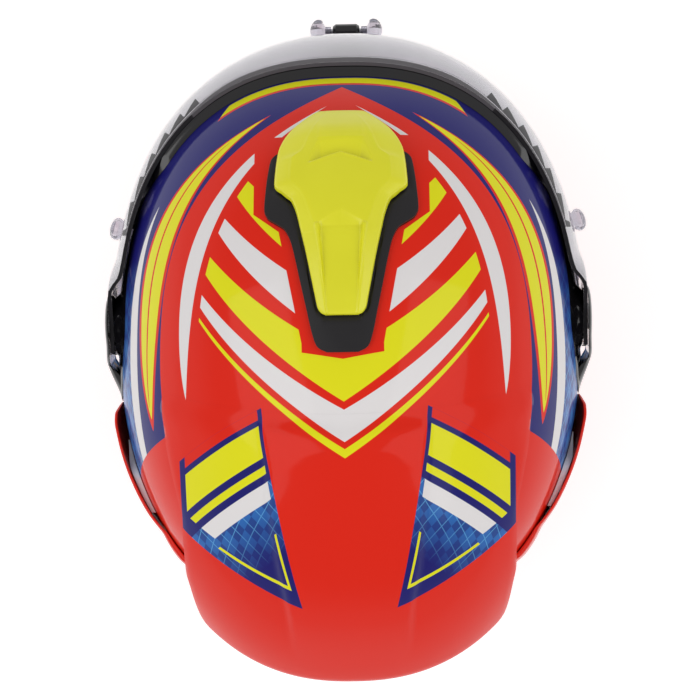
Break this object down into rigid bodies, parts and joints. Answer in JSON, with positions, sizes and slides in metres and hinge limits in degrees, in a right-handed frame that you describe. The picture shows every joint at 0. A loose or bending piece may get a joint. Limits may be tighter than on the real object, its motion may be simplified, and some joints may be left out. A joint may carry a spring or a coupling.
{
  "type": "full face motorcycle helmet",
  "caption": "Full face racing helmet with a hinged clear visor, sliding top vent, rear spoiler, side fins, foam and cloth linings and a D-ring chin strap.",
  "frame": {"origin": "centre of the helmet's box in plan, on the surface that it stands on", "axes": "the helmet looks along -Y, its left side is at +X and its crown points along +Z"},
  "size_m": [0.261, 0.3704, 0.2624],
  "materials": {
    "shell_paint": "gloss lacquer over a red, yellow, navy and white painted design",
    "vent_yellow": "fluorescent yellow, satin gloss",
    "black_satin": "satin moulded plastic",
    "black_gloss": "gloss moulded plastic",
    "visor_clear": "clear polycarbonate with a printed black border",
    "clear_plastic": "clear polished plastic",
    "steel": "bright steel",
    "edge_rubber": "black rubber",
    "soft_rubber": "soft black rubber",
    "liner_foam": "expanded polystyrene, fine beaded",
    "lining_cloth": "brushed lining cloth over foam",
    "curtain_cloth": "black stretch cloth",
    "vent_mesh": "fine black mesh",
    "webbing": "woven strap webbing",
    "pull_red": "red woven tape"
  },
  "bodies": {
    "helmet": {"outer_shell": "shell_paint", "edge_trim": "edge_rubber", "eyeport_gasket": "edge_rubber", "impact_liner": "liner_foam", "chin_liner": "liner_foam", "crown_pad": "lining_cloth", "cheek_pad_left": "lining_cloth", "cheek_pad_right": "lining_cloth", "neck_roll": "lining_cloth", "breath_guard": "soft_rubber", "chin_curtain": "curtain_cloth", "vent_frame": "black_satin", "rear_spoiler": "shell_paint", "rear_grille": "black_satin", "side_fin_left": "shell_paint", "side_fin_right": "shell_paint", "exhaust_duct_left": "clear_plastic", "exhaust_duct_right": "clear_plastic", "chin_vent_frame": "black_satin", "chin_vent_mesh": "vent_mesh", "pivot_base_left": "black_gloss", "pivot_base_right": "black_gloss", "pivot_hub_left": "steel", "pivot_hub_right": "steel", "pivot_screws": "steel", "side_pod_left": "black_gloss", "side_pod_right": "black_gloss", "latch_catch": "black_satin", "strap_left": "webbing", "strap_right": "webbing", "strap_anchors": "steel", "pull_tab_left": "pull_red", "pull_tab_right": "pull_red"},
    "visor": {"visor": "visor_clear", "tear_off_posts": "clear_plastic", "lift_knobs": "clear_plastic", "latch_pin": "steel"},
    "latch_roller": {"latch_roller": "black_gloss"},
    "vent_cover": {"vent_cover": "vent_yellow"},
    "vent_shutter": {"chin_vent_shutter": "black_satin"},
    "d_rings": {"d_rings": "steel"}
  },
  "joints": [
    {"name": "visor_swing", "type": "hinge", "parent": "helmet", "child": "visor", "pos_m": [0, -0.00879, 0.14], "axis": [-1, 0, 0], "range_deg": [0, 52]},
    {"name": "roller_spin", "type": "hinge", "parent": "visor", "child": "latch_roller", "pos_m": [0, -0.17871, 0.088], "axis": [1, 0, 0], "continuous": true},
    {"name": "vent_slide", "type": "hinge", "parent": "helmet", "child": "vent_cover", "pos_m": [0, -0.00079, 0.089], "axis": [-1, 0, 0], "range_deg": [0, 4.2]},
    {"name": "shutter_slide", "type": "slide", "parent": "helmet", "child": "vent_shutter", "axis": [1, 0, 0], "range_m": [-0.006, 0.006]},
    {"name": "ring_swing", "type": "hinge", "parent": "helmet", "child": "d_rings", "pos_m": [0.07, -0.00479, 0.011], "axis": [0, 1, 0], "range_deg": [0, 75]}
  ]
}
